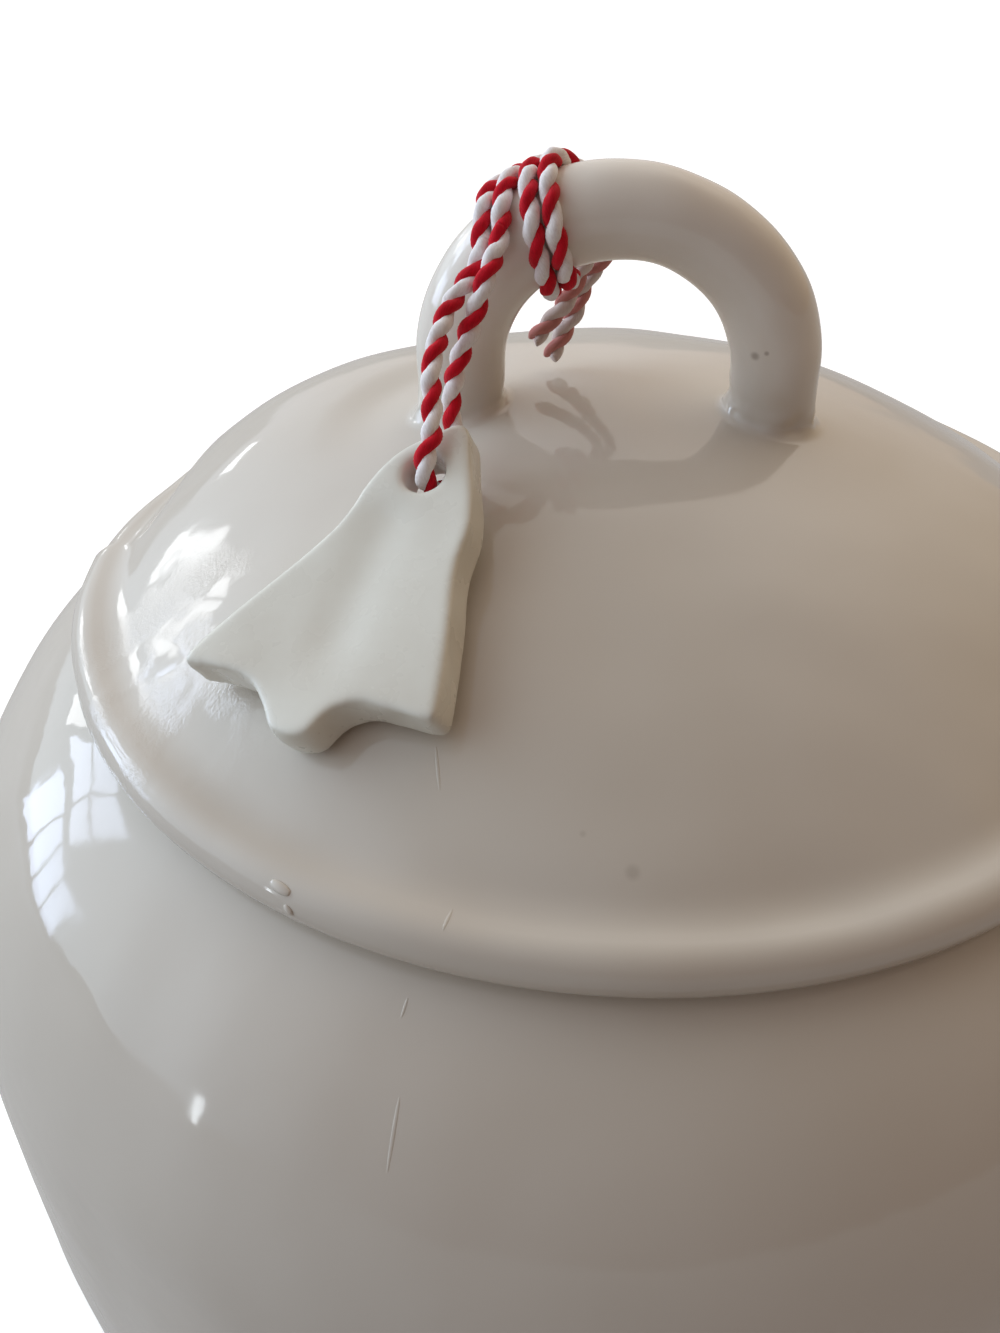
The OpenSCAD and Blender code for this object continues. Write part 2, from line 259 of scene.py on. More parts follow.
def rounded_corner(before, corner, after, radius):
    before, corner, after = (np.asarray(v, dtype=float) for v in (before, corner, after))

    def cut(end):
        return corner + unit(end - corner) * min(radius, np.linalg.norm(end - corner) * CORNER_SHARE)

    t = np.linspace(0, 1, CORNER_STEPS)[:, None]
    return (1 - t) ** 2 * cut(before) + 2 * (1 - t) * t * corner + t * t * cut(after)


def rounded(corners, radii):
    """A chain of corners, where each between the first and the last is rounded by its own radius."""
    return np.concatenate([rounded_corner(*corners[i:i + 3], radius) for i, radius in enumerate(radii)])


def ripple(points, wavelength, seed, count=26):
    """Smooth waves in all directions, of about unit height, the same for the same seed."""
    rng = np.random.default_rng(seed)
    ways = unit_rows(rng.normal(size=(count, 3)))
    numbers = 2 * np.pi / (wavelength * rng.uniform(*WAVELENGTH_SPREAD, count))
    phases = rng.uniform(0, 2 * np.pi, count)
    return np.sin(points @ (ways * numbers[:, None]).T + phases).sum(axis=1) / math.sqrt(count / 2)


def waves(points, table):
    """The sum of ripples that are given by height, wavelength and seed."""
    return sum(height * ripple(points, wavelength, seed) for height, wavelength, seed in table)


def smooth_step(x, low, high):
    t = np.clip((np.asarray(x, dtype=float) - low) / (high - low), 0, 1)
    return t * t * (3 - 2 * t)


# Mesh helpers
def tube_faces(rings, sides, base=0):
    """Faces between neighbouring rings of a tube, whose points run ring by ring from number base."""
    starts = [(base + i * sides, base + (i + 1) * sides) for i in range(rings - 1)]
    turns = [(j, (j + 1) % sides) for j in range(sides)]
    return [(low + j, low + k, high + k, high + j) for low, high in starts for j, k in turns]


def cap_faces(ring, sides, middle):
    """Faces from a ring, whose points run from number ring, to the point in its middle."""
    return [(ring + j, ring + (j + 1) % sides, middle) for j in range(sides)]


def mesh_object(name, points, faces, materials, marks=None, uvs=None):
    """A smooth closed mesh of points in millimetres.

    Where marks are given, they are each face's material, and uvs are the texture places of all the corners.
    """
    mesh = bpy.data.meshes.new(name)
    mesh.from_pydata([tuple(p) for p in np.asarray(points) * MM], [], faces)
    for material in materials:
        mesh.materials.append(material)
    mesh.polygons.foreach_set("use_smooth", np.ones(len(faces), dtype=bool))
    if marks:
        mesh.polygons.foreach_set("material_index", np.array(marks, dtype=np.int32))
        layer = mesh.uv_layers.new(name="UVMap")
        layer.data.foreach_set("uv", np.array(uvs, dtype=np.float32))
    work = bmesh.new()
    work.from_mesh(mesh)
    bmesh.ops.recalc_face_normals(work, faces=work.faces)
    work.to_mesh(mesh)
    work.free()
    mesh.update()
    return linked(name, mesh)


def revolved(profile, segments):
    """Points, outward normals and faces of a closed surface whose profile starts and ends on the axis."""
    a = np.linspace(0, 2 * np.pi, segments, endpoint=False)
    c, s = np.cos(a), np.sin(a)

    def spun(rows):
        upright = np.repeat(rows[:, 1:], segments, axis=1)
        return np.stack([rows[:, :1] * c, rows[:, :1] * s, upright], axis=2).reshape(-1, 3)

    rings = len(profile) - 2
    first = rings * segments
    points = np.concatenate([spun(profile[1:-1]), [[0, 0, profile[0, 1]], [0, 0, profile[-1, 1]]]])
    normals = np.concatenate([spun(outward(profile)[1:-1]), [[0, 0, -1], [0, 0, 1]]])
    faces = tube_faces(rings, segments)
    faces += cap_faces(0, segments, first) + cap_faces(first - segments, segments, first + 1)
    return points, normals, faces


# Material helpers
WHITE = (1, 1, 1, 1)
BLACK = (0, 0, 0, 1)


def new_material(name):
    material = bpy.data.materials.new(name)
    material.use_nodes = True
    material.node_tree.nodes.clear()
    return material, material.node_tree


def add(tree, kind, **values):
    node = tree.nodes.new(kind)
    for key, value in values.items():
        setattr(node, key, value)
    return node


def feed(tree, socket, value):
    """Link a socket to another, or set it to a number or a colour."""
    if isinstance(value, (int, float, tuple)):
        socket.default_value = value
    else:
        tree.links.new(value, socket)


def linear(red, green, blue):
    """A colour given in 0 to 255 display values, as linear red, green, blue and alpha."""
    out = []
    for v in (red, green, blue):
        v = v / 255
        out.append(v / 12.92 if v <= 0.04045 else ((v + 0.055) / 1.055) ** 2.4)
    return (*out, 1.0)


def ramp(tree, source, *stops):
    """A colour that follows the source between two stops, each a place and a colour."""
    node = add(tree, "ShaderNodeValToRGB")
    for element, (place, colour) in zip(node.color_ramp.elements, stops):
        element.position = place
        element.color = colour
    tree.links.new(source, node.inputs["Fac"])
    return node.outputs["Color"]


def noise_of(tree, coords, scale, detail, roughness):
    node = add(tree, "ShaderNodeTexNoise")
    node.inputs["Scale"].default_value = scale
    node.inputs["Detail"].default_value = detail
    node.inputs["Roughness"].default_value = roughness
    tree.links.new(coords, node.inputs["Vector"])
    return node.outputs["Fac"]


def mix_colour(tree, share, first, second, blend="MIX"):
    node = add(tree, "ShaderNodeMix", data_type="RGBA", blend_type=blend)
    feed(tree, node.inputs["Factor"], share)
    feed(tree, node.inputs[6], first)
    feed(tree, node.inputs[7], second)
    return node.outputs[2]


def mix_shaders(tree, share, first, second):
    node = add(tree, "ShaderNodeMixShader")
    for socket, value in zip(node.inputs, (share, first.outputs[0], second.outputs[0])):
        tree.links.new(value, socket)
    return node


def maths(tree, kind, *values):
    node = add(tree, "ShaderNodeMath", operation=kind)
    for socket, value in zip(node.inputs, values):
        feed(tree, socket, value)
    return node.outputs[0]


def product(tree, first, second):
    return maths(tree, "MULTIPLY", first, second)


def span(tree, value, low, high, to_low=0.0, to_high=1.0):
    """A smooth step from to_low to to_high as the value goes from low to high."""
    node = add(tree, "ShaderNodeMapRange", interpolation_type="SMOOTHSTEP")
    tree.links.new(value, node.inputs["Value"])
    node.inputs["From Min"].default_value = low
    node.inputs["From Max"].default_value = high
    node.inputs["To Min"].default_value = to_low
    node.inputs["To Max"].default_value = to_high
    return node.outputs["Result"]


def by_distance(tree, coords, place, low, high, to_low, to_high):
    """The same step over the distance from a place, in millimetres."""
    node = add(tree, "ShaderNodeVectorMath", operation="DISTANCE")
    tree.links.new(coords, node.inputs[0])
    node.inputs[1].default_value = tuple(v * MM for v in place)
    return span(tree, node.outputs["Value"], low * MM, high * MM, to_low, to_high)


def bumped(tree, shader, height, strength, distance):
    """Bump on a shader, whose distance is in millimetres."""
    bump = add(tree, "ShaderNodeBump")
    bump.inputs["Strength"].default_value = strength
    bump.inputs["Distance"].default_value = distance * MM
    tree.links.new(height, bump.inputs["Height"])
    tree.links.new(bump.outputs["Normal"], shader.inputs["Normal"])


def surface(tree, shader, kind="ShaderNodeOutputMaterial"):
    tree.links.new(shader.outputs[0], add(tree, kind).inputs["Surface"])


# The glaze, with places and lengths in millimetres
GLAZE_PALE = linear(214, 208, 198)
GLAZE_WARM = linear(205, 198, 186)
GLAZE_GLOSS = (0.045, 0.11)
GLAZE_IOR = 1.52
# The handle's paler glaze, which fades in above the dome, is painted light on its crown
HANDLE_PALE_PAINTED_LIGHT = linear(236, 230, 220)
HANDLE_WARM_PAINTED_LIGHT = linear(229, 222, 211)
HANDLE_PAINTED_LIGHT_FADE = (0.5, 14.0)
GLAZE_SPECK = linear(120, 104, 88)
SPECK_SIZES = (0.028, 0.045)
SPECK_DARKNESS = 0.6
SPECK_DEPTH = 0.9
HANDLE_SPECKS = (((17.2, -5.7, 222.1), 0.9, 0.5), ((18.7, -6.2, 222.8), 0.5, 0.45))
LID_SPECKS = (((3.4, -71.9, 187.3), 1.3, 0.22), ((-2.6, -68.5, 189.7), 0.6, 0.15))
SPECK_CORE = 0.2
PIT_PLACE = (-59.0, -40.0, 187.0)
PIT_REACH = 26.0
PIT_CORE = 0.45
PIT_DEPTH = 2.4
BARE_CLAY = linear(206, 196, 178)
BARE_CLAY_DARK = linear(188, 176, 156)
BARE_ROUGHNESS = 0.75
BARE_EDGE = 0.3
GRIT_HEIGHT = 0.6
JAR_BARE_BELOW = 1.2
LID_BARE_BELOW = 167.2
NEVER_BARE = 0.0


def scattered_specks(tree, coords):
    """Rare small dots: 1 inside a dot, 0 elsewhere."""
    cells = add(tree, "ShaderNodeTexVoronoi", feature="F1")
    cells.inputs["Scale"].default_value = 62.0
    tree.links.new(coords, cells.inputs["Vector"])
    rare = span(tree, noise_of(tree, coords, scale=21.0, detail=1.0, roughness=0.5), 0.6, 0.68)
    return product(tree, span(tree, cells.outputs["Distance"], *SPECK_SIZES, 1.0, 0.0), rare)


def pitted_patch(tree, coords):
    """The height of fine pits in a broken patch about one place."""
    near = by_distance(tree, coords, PIT_PLACE, PIT_REACH * PIT_CORE, PIT_REACH, 1.0, 0.0)
    broken = span(tree, noise_of(tree, coords, scale=95.0, detail=2.0, roughness=0.5), 0.4, 0.56)
    fine = noise_of(tree, coords, scale=1900.0, detail=3.0, roughness=0.65)
    return product(tree, product(tree, fine, product(tree, near, broken)), PIT_DEPTH)


def glaze_material(name, bare_below, raised=False, pitted=False, specks=()):
    """Glossy glaze with soft colour changes and specks. Below a height in millimetres the clay is bare.

    A raised piece turns paler with its distance from the dome that it stands on, which is painted light
    on its crown. The specks given are places and reaches in millimetres, and how dark they are.
    """
    material, tree = new_material(name)
    coords = add(tree, "ShaderNodeTexCoord").outputs["Object"]
    cloud = noise_of(tree, coords, scale=14.0, detail=3.0, roughness=0.55)
    colour = ramp(tree, cloud, (0.3, GLAZE_WARM), (0.7, GLAZE_PALE))
    # Painted light: the raised handle turns paler away from the dome
    if raised:
        low, high = (DOME_RADIUS + height for height in HANDLE_PAINTED_LIGHT_FADE)
        share = by_distance(tree, coords, DOME_CENTRE, low, high, 0.0, 1.0)
        colour = mix_colour(tree, share, colour, ramp(tree, cloud, (0.3, HANDLE_WARM_PAINTED_LIGHT), (0.7, HANDLE_PALE_PAINTED_LIGHT)))
    speck = scattered_specks(tree, coords)
    colour = mix_colour(tree, product(tree, speck, SPECK_DARKNESS), colour, GLAZE_SPECK)
    for place, reach, darkness in specks:
        spot = by_distance(tree, coords, place, SPECK_CORE * reach, reach, darkness, 0.0)
        colour = mix_colour(tree, spot, colour, GLAZE_SPECK)
    split = add(tree, "ShaderNodeSeparateXYZ")
    tree.links.new(coords, split.inputs[0])
    edge = ((bare_below - BARE_EDGE) * MM, (bare_below + BARE_EDGE) * MM)
    bare = span(tree, split.outputs["Z"], *edge, 1.0, 0.0)
    grit = noise_of(tree, coords, scale=900.0, detail=2.0, roughness=0.6)
    colour = mix_colour(tree, bare, colour, ramp(tree, grit, (0.25, BARE_CLAY_DARK), (0.75, BARE_CLAY)))
    shader = add(tree, "ShaderNodeBsdfPrincipled")
    tree.links.new(colour, shader.inputs["Base Color"])
    shader.inputs["IOR"].default_value = GLAZE_IOR
    patches = noise_of(tree, coords, scale=55.0, detail=4.0, roughness=0.6)
    rough = add(tree, "ShaderNodeMix", data_type="FLOAT")
    tree.links.new(bare, rough.inputs[0])
    tree.links.new(span(tree, patches, 0.35, 0.7, *GLAZE_GLOSS), rough.inputs[2])
    rough.inputs[3].default_value = BARE_ROUGHNESS
    tree.links.new(rough.outputs[0], shader.inputs["Roughness"])
    peel = noise_of(tree, coords, scale=130.0, detail=2.0, roughness=0.5)
    height = maths(tree, "SUBTRACT", peel, product(tree, speck, SPECK_DEPTH))
    height = maths(tree, "ADD", height, product(tree, product(tree, grit, bare), GRIT_HEIGHT))
    if pitted:
        height = maths(tree, "ADD", height, pitted_patch(tree, coords))
    bumped(tree, shader, height, strength=0.12, distance=0.6)
    surface(tree, shader)
    return material


# The tag's clay
TAG_PALE = linear(226, 225, 214)
TAG_SHADE = linear(217, 214, 202)
TAG_ROUGHNESS = (0.25, 0.31)


def clay_material():
    material, tree = new_material("tag_satin_clay")
    coords = add(tree, "ShaderNodeTexCoord").outputs["Object"]
    cloud = noise_of(tree, coords, scale=70.0, detail=4.0, roughness=0.6)
    shader = add(tree, "ShaderNodeBsdfPrincipled")
    tree.links.new(ramp(tree, cloud, (0.3, TAG_SHADE), (0.7, TAG_PALE)), shader.inputs["Base Color"])
    patches = noise_of(tree, coords, scale=160.0, detail=3.0, roughness=0.6)
    tree.links.new(span(tree, patches, 0.3, 0.7, *TAG_ROUGHNESS), shader.inputs["Roughness"])
    shader.inputs["IOR"].default_value = 1.5
    grain = noise_of(tree, coords, scale=420.0, detail=4.0, roughness=0.65)
    bumped(tree, shader, grain, strength=0.07, distance=0.4)
    surface(tree, shader)
    return material


# The twine's yarn, with lengths along the twine in millimetres
# The darker yarn colours are painted shade between the fibres
TWINE_RED = linear(216, 4, 36)
TWINE_RED_SHADED = linear(178, 4, 28)
TWINE_WHITE = linear(254, 250, 250)
TWINE_WHITE_SHADED = linear(234, 226, 226)
TAIL_WORN = linear(188, 164, 155)
TAIL_WEAR = 0.6
TAIL_LENGTH = 28.0
TAIL_FADE = 8.0
FIBRE_STRETCH = (9.0, 0.55, 1.0)
FIBRE_SHARE = 0.75


def yarn_material(name, pale, fibre_shade, tails):
    """Cotton yarn: slanted fibres round the ply, with painted shade between them. Tails are worn pale."""
    material, tree = new_material(name)
    link = tree.links.new
    place = add(tree, "ShaderNodeUVMap").outputs["UV"]
    stretch = add(tree, "ShaderNodeMapping")
    stretch.inputs["Scale"].default_value = FIBRE_STRETCH
    link(place, stretch.inputs["Vector"])
    fibres = noise_of(tree, stretch.outputs["Vector"], scale=3.0, detail=5.0, roughness=0.65)
    coords = add(tree, "ShaderNodeTexCoord").outputs["Object"]
    cloud = noise_of(tree, coords, scale=400.0, detail=2.0, roughness=0.5)
    shade = maths(tree, "ADD", product(tree, fibres, FIBRE_SHARE), product(tree, cloud, 1 - FIBRE_SHARE))
    # Painted shade between the fibres, mixed with some random tone
    colour = ramp(tree, shade, (0.32, fibre_shade), (0.56, pale))
    along = add(tree, "ShaderNodeSeparateXYZ")
    link(place, along.inputs[0])
    worn = maths(tree, "ADD", span(tree, along.outputs["Y"], tails[0] - TAIL_FADE, tails[0], 1.0, 0.0),
                 span(tree, along.outputs["Y"], tails[1], tails[1] + TAIL_FADE))
    colour = mix_colour(tree, product(tree, worn, TAIL_WEAR), colour, TAIL_WORN)
    shader = add(tree, "ShaderNodeBsdfPrincipled")
    link(colour, shader.inputs["Base Color"])
    shader.inputs["Roughness"].default_value = 0.85
    shader.inputs["Specular IOR Level"].default_value = 0.25
    shader.inputs["Sheen Weight"].default_value = 0.1
    shader.inputs["Sheen Roughness"].default_value = 0.5
    bumped(tree, shader, fibres, strength=0.6, distance=0.2)
    surface(tree, shader)
    return material


# The tag's plane, which lies on the dome
TILT_COS, TILT_SIN = cos_sin(TAG_TILT)
WAY_COS, WAY_SIN = cos_sin(TAG_DIRECTION)
LEAN_COS, LEAN_SIN = cos_sin(TAG_LEAN)
TAG_NORMAL = np.array([TILT_SIN * WAY_COS, TILT_SIN * WAY_SIN, TILT_COS])
SLOPE_ACROSS = np.array([-WAY_SIN, WAY_COS, 0.0])
SLOPE_UP = np.cross(TAG_NORMAL, SLOPE_ACROSS)
TAG_ACROSS = SLOPE_ACROSS * LEAN_COS - SLOPE_UP * LEAN_SIN
TAG_UP = SLOPE_UP * LEAN_COS + SLOPE_ACROSS * LEAN_SIN


def on_tag(x, y, z):
    return DOME_CENTRE + (DOME_RADIUS + TAG_GAP + z) * TAG_NORMAL + x * TAG_ACROSS + y * TAG_UP


# The twine's centreline: two strands wound round the rod, their tails, and the loop through the tag
TWINE_SPACING = 0.25
ROUTE_STEPS = 8
TURN_STEP = 4.0
SMOOTH_REACH = 4
SMOOTH_WIDTH = 2.0


def along_rod(turn, strand):
    """How far a strand has moved along the rod after so many degrees round it."""
    share = max(0.0, (VEER_FROM - turn) / (VEER_FROM - HITCH_START))
    late = max(0.0, (turn - DRIFT_FROM) / (HITCH_END - DRIFT_FROM))
    under = max(0.0, 1 - ((turn - LEAN_AT) / LEAN_REACH) ** 2)
    spread = strand * STRAND_PITCH * (1 + VEER_SPREAD * share ** 2)
    return HITCH_LEAD * turn / 360 + spread - VEER * share ** 2 + DRIFT * late ** 2 - LEAN * under ** 2


def hitch_point(turn, strand):
    turn_cos, turn_sin = cos_sin(turn)
    reach = ARCH_RADIUS + HITCH_RADIUS * turn_sin
    a = math.radians(HITCH_ANGLE) + (HITCH_MIDDLE - along_rod(turn, strand)) / reach
    return ARCH_CENTRE + [reach * math.cos(a), -HITCH_RADIUS * turn_cos, reach * math.sin(a)]


def hitch_exit(strand):
    return unit(hitch_point(HITCH_START, strand) - hitch_point(HITCH_START + 1, strand))


def hitch_tail(strand):
    return unit(hitch_point(HITCH_END, strand) - hitch_point(HITCH_END - 1, strand))


def loop_start(strand, run):
    return hitch_point(HITCH_START, strand) + (TWINE_DIAMETER + END_GAP + run) * hitch_exit(strand)


def tail_start(strand, run):
    return hitch_point(HITCH_END, strand) + (TWINE_DIAMETER + END_GAP + run) * hitch_tail(strand)


def tag_bend():
    """The loop's half turn through the tag's hole and round its edge."""
    half = TAG_THICKNESS / 2
    radius = half + TWINE_RADIUS + LOOP_CLEARANCE
    room = radius - TWINE_RADIUS - LOOP_CLEARANCE / 2
    y = TAG_HOLE[1] + TAG_HOLE_DIAMETER / 2 + math.sqrt(room ** 2 - half ** 2)
    turns = [cos_sin(angle) for angle in np.arange(90, 270 + BEND_STEP / 2, BEND_STEP)]
    return [on_tag(TAG_HOLE[0], y + radius * c, half + radius * s) for c, s in turns]


def twine_line():
    """The whole twine as one line from tail end to tail end, and the two places that cut it at the loop."""
    turns = np.arange(HITCH_START, HITCH_END + TURN_STEP / 2, TURN_STEP)
    hitches = [np.array([hitch_point(t, k) for t in turns]) for k in (0, 1)]
    tails = [open_spline([tail_start(k, 0), tail_start(k, TWINE_DIAMETER)] + route, ROUTE_STEPS)
             for k, route in ((0, TAIL_LEFT_ROUTE), (1, TAIL_RIGHT_ROUTE))]
    loop = open_spline([loop_start(0, 0), loop_start(0, TWINE_DIAMETER)] + LOOP_FRONT_ROUTE + tag_bend()
                       + LOOP_BACK_ROUTE + [loop_start(1, TWINE_DIAMETER), loop_start(1, 0)], ROUTE_STEPS)
    whole = np.concatenate([tails[0][::-1], hitches[0][::-1], loop, hitches[1], tails[1]])
    line = resample(whole, TWINE_SPACING)
    weights = np.exp(-0.5 * (np.arange(-SMOOTH_REACH, SMOOTH_REACH + 1) / SMOOTH_WIDTH) ** 2)
    weights /= weights.sum()
    padded = np.pad(line, ((SMOOTH_REACH, SMOOTH_REACH), (0, 0)), mode="edge")
    line = np.stack([np.convolve(padded[:, k], weights, mode="valid") for k in range(3)], axis=1)
    line = resample(line, TWINE_SPACING)
    first, second = (int(np.argmin(np.linalg.norm(line - loop_start(k, 0), axis=1))) for k in (0, 1))
    return line, first, second


# The twine's two plies, red and white, turn round the centreline, each a soft yarn with its own finer twist
PLY_TURN = 6.42
PLY_START = -1.8
PLY_OFFSETS = (0.6, 0.42)
PLY_RADII = (0.84, 0.98)
PLY_SIDES = 14
PLY_RIPPLES = 9
WANDER = 0.05
WANDER_LENGTH = 5.0
WANDER_SEEDS = (11, 42)
UNEVEN = 0.05
UNEVEN_LENGTH = 2.3
UNEVEN_SEEDS = (31, 62)
YARN_TURN = 3.4
YARN_LOBES = 3
LOBE_HEIGHT = 0.045
FLATTENING = 0.1
FRAY_LENGTH = 1.6
FRAY_SPREAD = 0.25
FRAY_TAPER = 0.35
FRAME_HINT = (0.3, 0.5, 0.8)
CAP_LENGTH = 0.3


def carried_frame(line):
    """Two unit vectors across the line at each point, carried along it without twist."""
    ahead = directions(line)
    side = np.zeros_like(line)
    current = unit(np.cross(ahead[0], FRAME_HINT))
    for i in range(len(line)):
        current = unit(current - current.dot(ahead[i]) * ahead[i])
        side[i] = current
    return side, np.cross(ahead, side)


def ply_rings(line, s, ply):
    """Rings of one ply, 0 for red and 1 for white, along the whole twine."""
    side, other = carried_frame(line)
    zeros = np.zeros_like(s)
    turn = 2 * np.pi * s / PLY_TURN + PLY_START + ply * math.pi
    fray = np.maximum(smooth_step(FRAY_LENGTH - s, 0, FRAY_LENGTH),
                      smooth_step(s - s[-1] + FRAY_LENGTH, 0, FRAY_LENGTH))
    wander = ripple(np.stack([s, zeros, zeros], axis=1), WANDER_LENGTH, WANDER_SEEDS[ply], PLY_RIPPLES)
    offset = (PLY_OFFSETS[ply] + FRAY_SPREAD * fray) * (1 + WANDER * wander)
    out = np.cos(turn)[:, None] * side + np.sin(turn)[:, None] * other
    centre = line + offset[:, None] * out
    run = directions(centre)
    first = unit_rows(out - (out * run).sum(axis=1)[:, None] * run)
    second = np.cross(run, first)
    a = np.linspace(0, 2 * np.pi, PLY_SIDES, endpoint=False)
    uneven = ripple(np.stack([zeros, s, zeros], axis=1), UNEVEN_LENGTH, UNEVEN_SEEDS[ply], PLY_RIPPLES)
    thick = PLY_RADII[ply] * (1 + UNEVEN * uneven)
    lobe = 1 + LOBE_HEIGHT * np.cos(YARN_LOBES * (a[None, :] + 2 * np.pi * s[:, None] / YARN_TURN))
    flat_in = 1 - FLATTENING * np.maximum(0, -np.cos(a))[None, :]
    taper = 1 - FRAY_TAPER * fray
    radius = thick[:, None] * lobe * flat_in * taper[:, None]
    spokes = np.cos(a)[None, :, None] * first[:, None] + np.sin(a)[None, :, None] * second[:, None]
    return centre[:, None] + radius[..., None] * spokes


def twine_piece(name, plies, s, low, high, yarns):
    """The stretch of twine from point low to point high, as two plies in one object."""
    points, faces, marks, uvs = [], [], [], []
    around = [(j / PLY_SIDES, (j + 1) / PLY_SIDES) for j in range(PLY_SIDES)]
    for ply, rings in enumerate(plies):
        part = rings[low:high + 1]
        base = len(points)
        points.extend(part.reshape(-1, 3))
        faces += tube_faces(len(part), PLY_SIDES, base)
        for v0, v1 in zip(s[low:high], s[low + 1:high + 1]):
            slant0, slant1 = v0 / YARN_TURN, v1 / YARN_TURN
            for u0, u1 in around:
                uvs += [u0 + slant0, v0, u1 + slant0, v0, u1 + slant1, v1, u0 + slant1, v1]
        for ring, v in ((0, s[low]), (len(part) - 1, s[high])):
            faces += cap_faces(base + ring * PLY_SIDES, PLY_SIDES, len(points))
            points.append(part[ring].mean(axis=0))
            for u0, u1 in around:
                uvs += [u0, v, u1, v, u0, v + CAP_LENGTH]
        marks += [ply] * (len(faces) - len(marks))
    piece = mesh_object(name, points, faces, yarns, marks, uvs)
    return piece


def build_twine():
    line, first, second = twine_line()
    s = lengths_along(line)
    plies = [ply_rings(line, s, ply) for ply in (0, 1)]
    tails = (TAIL_LENGTH, s[-1] - TAIL_LENGTH)
    yarns = (yarn_material("twine_red", TWINE_RED, TWINE_RED_SHADED, tails),
             yarn_material("twine_white", TWINE_WHITE, TWINE_WHITE_SHADED, tails))
    left = twine_piece("twine_left", plies, s, 0, first, yarns)
    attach(left, "lid")
    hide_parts("twine_hitch_left", "twine_tail_left")
    right = twine_piece("twine_right", plies, s, second, len(line) - 1, yarns)
    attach(right, "lid")
    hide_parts("twine_hitch_right", "twine_tail_right")
    loop = twine_piece("twine_hanging_loop", plies, s, first, second, yarns)
    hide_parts("twine_loop")
    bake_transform(loop)


# The jar body, with rounds from the foot's hollow outwards, at the rim, and from the mouth inwards
SEGMENTS = 256
PROFILE_STEPS = 60
JAR_SPACING = 1.7
FOOT_RUN = 6.0
FOOT_ROUNDS = (1.6, 1.6, 2.0)
RIM_ROUND = 0.6
MOUTH_ROUNDS = (2.6, 3.0, 2.5)
LIP_STEP = 2.0
LIP_ROOM = 2.5
FLOOR_ROOM = 4.5
FLOOR_INSET = 3.0
FLOOR_ROUND = 9.0
JAR_WAVES = ((0.16, 46.0, 3), (0.05, 19.0, 4))
JAR_WAVES_RISE = (4, 16)
JAR_WAVES_FALL = (171, 175)
INSIDE_SHARE = 0.5
STILL_RADIUS = 5.0


def jar_profile():
    side = [(FOOT_RADIUS, FOOT_HEIGHT), (FOOT_RADIUS + HIP_REACH, FOOT_HEIGHT + HIP_RISE),
            (BELLY_RADIUS, BELLY_Z - SIDE_LENGTH), (BELLY_RADIUS, BELLY_Z)]
    slope_cos, slope_sin = cos_sin(SHOULDER_SLOPE)
    top = LIP_EDGE + SHOULDER_TOP_LENGTH * np.array([slope_cos, -slope_sin])
    shoulder = [(BELLY_RADIUS, BELLY_Z), (BELLY_RADIUS, BELLY_Z + SHOULDER_LENGTH), top, LIP_EDGE]
    outside, inside = (np.concatenate([bezier_line(side, PROFILE_STEPS, inset),
                                       bezier_line(shoulder, PROFILE_STEPS, inset)[1:]])
                       for inset in (0.0, JAR_WALL))
    inside = inside[(inside[:, 1] < LIP_BOTTOM - LIP_ROOM) & (inside[:, 1] > FLOOR_TOP + FLOOR_ROOM)][::-1]
    ring = FOOT_RADIUS - FOOT_RING_WIDTH
    foot = [(ring - FOOT_RUN, FOOT_HOLLOW), (ring, FOOT_HOLLOW), (ring, 0), (FOOT_RADIUS, 0),
            (FOOT_RADIUS, FOOT_HEIGHT)]
    mouth = [(RIM_RADIUS, JAR_HEIGHT), (MOUTH_RADIUS, JAR_HEIGHT), (MOUTH_RADIUS, LIP_BOTTOM),
             (inside[0, 0] - LIP_STEP, LIP_BOTTOM), inside[0]]
    floor_edge = (inside[-1, 0] - FLOOR_INSET, FLOOR_TOP)
    pieces = [
        [(0, FOOT_HOLLOW), foot[0]],
        rounded(foot, FOOT_ROUNDS),
        outside[:-1],
        rounded_corner(outside[-2], LIP_EDGE, (RIM_RADIUS, JAR_HEIGHT), RIM_ROUND),
        [(RIM_RADIUS - RIM_ROUND, JAR_HEIGHT)],
        rounded(mouth, MOUTH_ROUNDS),
        inside,
        rounded_corner(inside[-1], floor_edge, (0, FLOOR_TOP), FLOOR_ROUND),
        [(0, FLOOR_TOP)],
    ]
    return resample(np.concatenate([np.asarray(p, dtype=float) for p in pieces]), JAR_SPACING)


def build_jar(glaze):
    points, normals, faces = revolved(jar_profile(), SEGMENTS)
    r = np.hypot(points[:, 0], points[:, 1])
    z = points[:, 2]
    facing = (normals[:, :2] * points[:, :2]).sum(axis=1) > 0
    share = smooth_step(z, *JAR_WAVES_RISE) * (1 - smooth_step(z, *JAR_WAVES_FALL))
    share *= np.where(facing, 1.0, INSIDE_SHARE) * (r > STILL_RADIUS)
    points = points + normals * (waves(points, JAR_WAVES) * share)[:, None]
    jar = mesh_object("jar_shell", points, faces, [glaze])
    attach(jar, "jar")
    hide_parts("jar_body")
    return jar


# The lid, with rounds from its underside down round the locating ring
LID_SPACING = 1.15
UNDER_STEPS = 70
BRIM_STEPS = 30
COVE_STEPS = 24
DOME_STEPS = 90
RING_ROUNDS = (4.0, 1.8, 1.8, 1.2)
LID_WAVES = ((0.13, 38.0, 7), (0.05, 15.0, 8))
LID_WAVES_RISE = (JAR_HEIGHT + 1.0, JAR_HEIGHT + 4.0)
LID_EDGE_WAVES = ((0.12, 22.0, 9),)
LID_EDGE = (62, 76)
LID_UNDERSIDE = -0.2
CALM_AT_HANDLE = (ROD_RADIUS + 6.0, ROD_RADIUS + 16.0)

# The lid is uneven, as the photo's outline shows: fuller at the back left, with a narrower brim there
SWELL_PLACE = (-52.0, 27.0)
SWELL_REACH = 17.5
SWELL = 3.1
NIP_ANGLE = 162.0
NIP_REACH = 16.0
NIP = 3.4
DOME_TO_BRIM = (70, 80)


